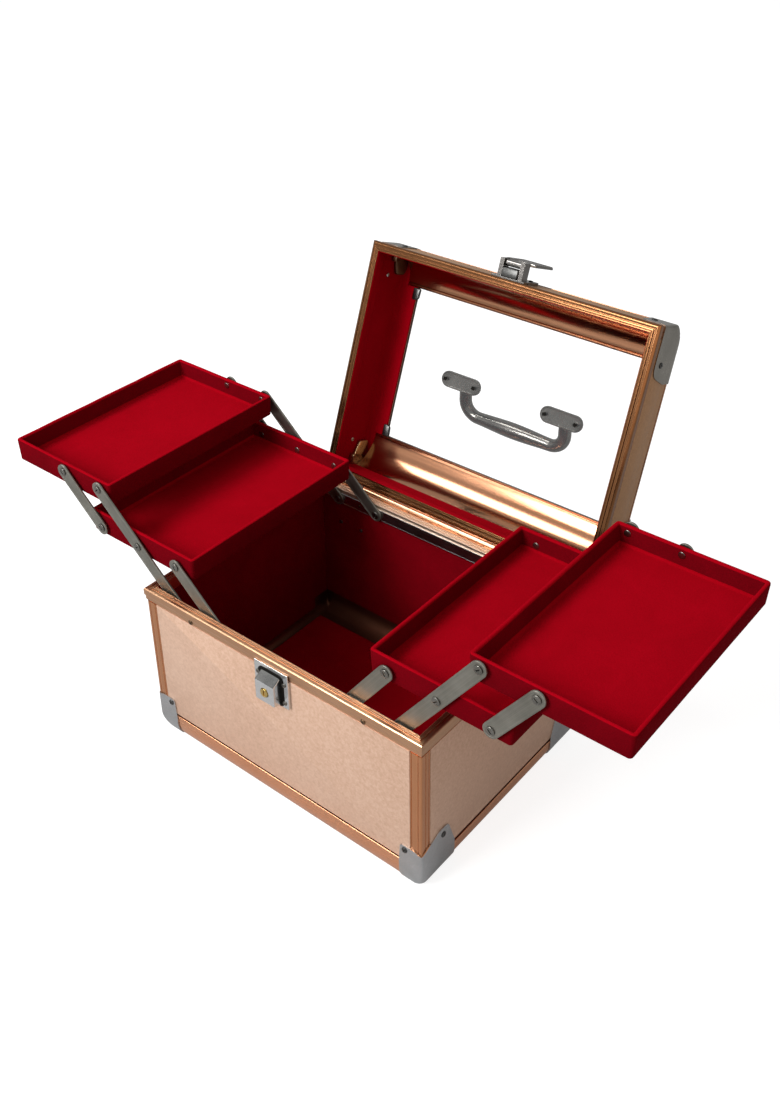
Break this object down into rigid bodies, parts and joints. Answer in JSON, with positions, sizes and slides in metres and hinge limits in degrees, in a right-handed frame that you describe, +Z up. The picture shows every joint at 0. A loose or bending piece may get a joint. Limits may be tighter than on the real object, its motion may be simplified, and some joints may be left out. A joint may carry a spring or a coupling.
{
  "type": "vanity case",
  "caption": "Hard make-up case standing open, with a clear-topped hinged lid, swing handle, latch and red flocked trays that fold out to both sides on steel arms.",
  "frame": {"origin": "centre of the case's flat underside, where it stands", "axes": "+X to the right along the latch side, +Y towards the hinge side, +Z up"},
  "size_m": [0.5273, 0.317, 0.3234],
  "materials": {
    "laminate": "rose-gold metallic laminate with a fine mottled satin face",
    "anodised_rim": "copper-gold anodised, drawn profile",
    "bright_chrome": "bright plated",
    "arm_steel": "brushed along the strip",
    "red_flock": "short red flock",
    "key_brass": "worn bright brass",
    "clear_window": "clear acrylic sheet"
  },
  "bodies": {
    "base": {"base_bottom_panel": "laminate", "base_front_panel": "laminate", "base_back_panel": "laminate", "base_side_panels": "laminate", "base_rim": "anodised_rim", "base_corner_posts": "anodised_rim", "base_front_edge": "anodised_rim", "base_back_edge": "anodised_rim", "base_side_edges": "anodised_rim", "base_corner_plugs": "anodised_rim", "base_hinge_leaf": "anodised_rim", "arm_rail_rivets": "anodised_rim", "base_corner_caps": "bright_chrome", "base_cap_rivets": "bright_chrome", "keeper_plate": "bright_chrome", "lock_housing": "bright_chrome", "keeper_rivets": "bright_chrome", "arm_rail_front": "arm_steel", "arm_rail_back": "arm_steel", "arm_pivots": "arm_steel", "hinge_pin": "arm_steel", "base_wall_lining": "red_flock", "base_floor_lining": "red_flock"},
    "lid": {"lid_front_panel": "laminate", "lid_back_panel": "laminate", "lid_side_panels": "laminate", "lid_rim": "anodised_rim", "lid_corner_posts": "anodised_rim", "lid_front_edge": "anodised_rim", "lid_back_edge": "anodised_rim", "lid_side_edges": "anodised_rim", "lid_corner_plugs": "anodised_rim", "lid_hinge_leaf": "anodised_rim", "lid_corner_caps": "bright_chrome", "lid_cap_rivets": "bright_chrome", "lid_wall_lining": "red_flock", "lid_window": "clear_window", "latch_base_plate": "bright_chrome", "latch_pin": "bright_chrome", "latch_rivets": "bright_chrome", "handle_pads": "bright_chrome", "handle_screws": "bright_chrome"},
    "handle_bail": {"handle_bail": "bright_chrome"},
    "latch_lever": {"latch_lever": "bright_chrome"},
    "lock_cylinder": {"lock_cylinder": "key_brass"},
    "left_long_arms": {"left_long_arms": "arm_steel"},
    "left_inner_arms": {"left_inner_arms": "arm_steel"},
    "left_outer_arms": {"left_outer_arms": "arm_steel"},
    "left_lower_tray": {"left_lower_tray": "red_flock", "left_lower_tray_rivets": "arm_steel"},
    "left_upper_tray": {"left_upper_tray": "red_flock", "left_upper_tray_rivets": "arm_steel"},
    "right_long_arms": {"right_long_arms": "arm_steel"},
    "right_inner_arms": {"right_inner_arms": "arm_steel"},
    "right_outer_arms": {"right_outer_arms": "arm_steel"},
    "right_lower_tray": {"right_lower_tray": "red_flock", "right_lower_tray_rivets": "arm_steel"},
    "right_upper_tray": {"right_upper_tray": "red_flock", "right_upper_tray_rivets": "arm_steel"}
  },
  "joints": [
    {"name": "lid_hinge", "type": "hinge", "parent": "base", "child": "lid", "pos_m": [0, 0.0978, 0.131], "axis": [-1, 0, 0], "range_deg": [-35, 0]},
    {"name": "handle_swing", "type": "hinge", "parent": "lid", "child": "handle_bail", "pos_m": [0, 0.18444, 0.20291], "axis": [1, 0, 0], "range_deg": [-20, 158]},
    {"name": "latch_swing", "type": "hinge", "parent": "lid", "child": "latch_lever", "pos_m": [0, 0.17706, 0.31914], "axis": [1, 0, 0], "range_deg": [0, 176]},
    {"name": "lock_turn", "type": "hinge", "parent": "base", "child": "lock_cylinder", "pos_m": [0, -0.1032, 0.109], "axis": [0, -1, 0], "range_deg": [0, 90]},
    {"name": "left_fold", "type": "hinge", "parent": "base", "child": "left_long_arms", "pos_m": [-0.0995, 0, 0.123], "axis": [0, 1, 0], "range_deg": [0, 111.4]},
    {"name": "left_lower_tray_level", "type": "hinge", "parent": "left_long_arms", "child": "left_lower_tray", "pos_m": [-0.13666, 0, 0.15646], "axis": [0, 1, 0], "range_deg": [-111.4, 0]},
    {"name": "left_upper_tray_level", "type": "hinge", "parent": "left_long_arms", "child": "left_upper_tray", "pos_m": [-0.17381, 0, 0.18991], "axis": [0, 1, 0], "range_deg": [-111.4, 0]},
    {"name": "left_inner_arm_fold", "type": "hinge", "parent": "base", "child": "left_inner_arms", "pos_m": [-0.0605, 0, 0.123], "axis": [0, 1, 0], "range_deg": [0, 111.4]},
    {"name": "left_outer_arm_fold", "type": "hinge", "parent": "left_lower_tray", "child": "left_outer_arms", "pos_m": [-0.17566, 0, 0.15646], "axis": [0, 1, 0], "range_deg": [0, 111.4]},
    {"name": "right_fold", "type": "hinge", "parent": "base", "child": "right_long_arms", "pos_m": [0.0995, 0, 0.123], "axis": [0, -1, 0], "range_deg": [-12, 99.4]},
    {"name": "right_lower_tray_level", "type": "hinge", "parent": "right_long_arms", "child": "right_lower_tray", "pos_m": [0.12889, 0, 0.16345], "axis": [0, -1, 0], "range_deg": [-99.4, 12]},
    {"name": "right_upper_tray_level", "type": "hinge", "parent": "right_long_arms", "child": "right_upper_tray", "pos_m": [0.15828, 0, 0.2039], "axis": [0, -1, 0], "range_deg": [-99.4, 12]},
    {"name": "right_inner_arm_fold", "type": "hinge", "parent": "base", "child": "right_inner_arms", "pos_m": [0.0605, 0, 0.123], "axis": [0, -1, 0], "range_deg": [-12, 99.4]},
    {"name": "right_outer_arm_fold", "type": "hinge", "parent": "right_lower_tray", "child": "right_outer_arms", "pos_m": [0.16789, 0, 0.16345], "axis": [0, -1, 0], "range_deg": [-12, 99.4]}
  ],
  "couplings": [
    {"joint": "left_lower_tray_level", "follows": "left_fold", "ratio": -1},
    {"joint": "left_upper_tray_level", "follows": "left_fold", "ratio": -1},
    {"joint": "left_inner_arm_fold", "follows": "left_fold", "ratio": 1},
    {"joint": "left_outer_arm_fold", "follows": "left_fold", "ratio": 1},
    {"joint": "right_lower_tray_level", "follows": "right_fold", "ratio": -1},
    {"joint": "right_upper_tray_level", "follows": "right_fold", "ratio": -1},
    {"joint": "right_inner_arm_fold", "follows": "right_fold", "ratio": 1},
    {"joint": "right_outer_arm_fold", "follows": "right_fold", "ratio": 1}
  ]
}
